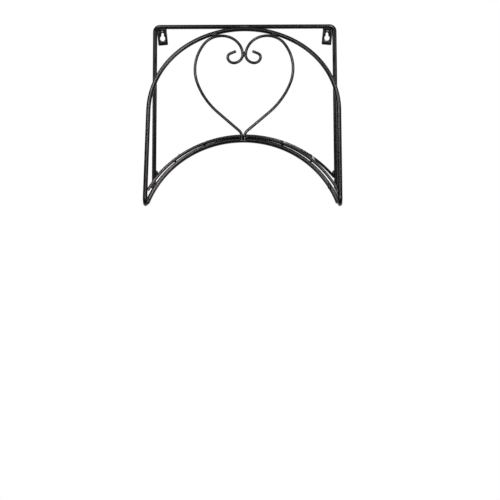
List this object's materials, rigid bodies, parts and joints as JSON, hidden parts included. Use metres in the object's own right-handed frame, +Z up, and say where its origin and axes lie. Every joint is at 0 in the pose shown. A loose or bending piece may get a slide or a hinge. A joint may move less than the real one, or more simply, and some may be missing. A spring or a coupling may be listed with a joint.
{
  "type": "hose hanger",
  "caption": "Wall-mounted garden hose hanger of bent and welded round steel wire, with a leaning arched front, a heart of scrolled wire, and a curved saddle that holds a coiled hose.",
  "frame": {"origin": "on the wall plane, half way between the centres of the two keyholes", "axes": "+Z is up, +Y points into the wall, and the hanger stands out towards -Y; +X is to the right for someone who faces the wall"},
  "size_m": [0.2816, 0.1236, 0.2606],
  "materials": {
    "paint": "satin black paint on steel wire",
    "tab_paint": "satin black paint on sheet steel",
    "weld_paint": "satin black paint over weld beads"
  },
  "bodies": {
    "root": {"back_frame": "paint", "front_hoop": "paint", "front_saddle_arc": "paint", "front_saddle_rim": "paint", "back_saddle_arc": "paint", "cross_rod_left_inner": "paint", "cross_rod_left_outer": "paint", "cross_rod_right_inner": "paint", "cross_rod_right_outer": "paint", "heart_wire_left": "paint", "heart_wire_right": "paint", "keyhole_tab_left": "tab_paint", "keyhole_tab_right": "tab_paint", "weld_crown": "weld_paint", "weld_lobe_left": "weld_paint", "weld_lobe_right": "weld_paint", "weld_heart_neck": "weld_paint", "weld_heart_foot_left": "weld_paint", "weld_heart_foot_right": "weld_paint", "weld_corner_left": "weld_paint", "weld_rim_left": "weld_paint", "weld_corner_right": "weld_paint", "weld_rim_right": "weld_paint", "weld_foot_left": "weld_paint", "weld_foot_right": "weld_paint", "weld_back_arc_left": "weld_paint", "weld_back_arc_right": "weld_paint", "weld_front_left_inner": "weld_paint", "weld_front_left_outer": "weld_paint", "weld_front_right_inner": "weld_paint", "weld_front_right_outer": "weld_paint", "weld_back_left_inner": "weld_paint", "weld_back_left_outer": "weld_paint", "weld_back_right_inner": "weld_paint", "weld_back_right_outer": "weld_paint", "weld_tab_left": "weld_paint", "weld_tab_right": "weld_paint"}
  },
  "joints": []
}
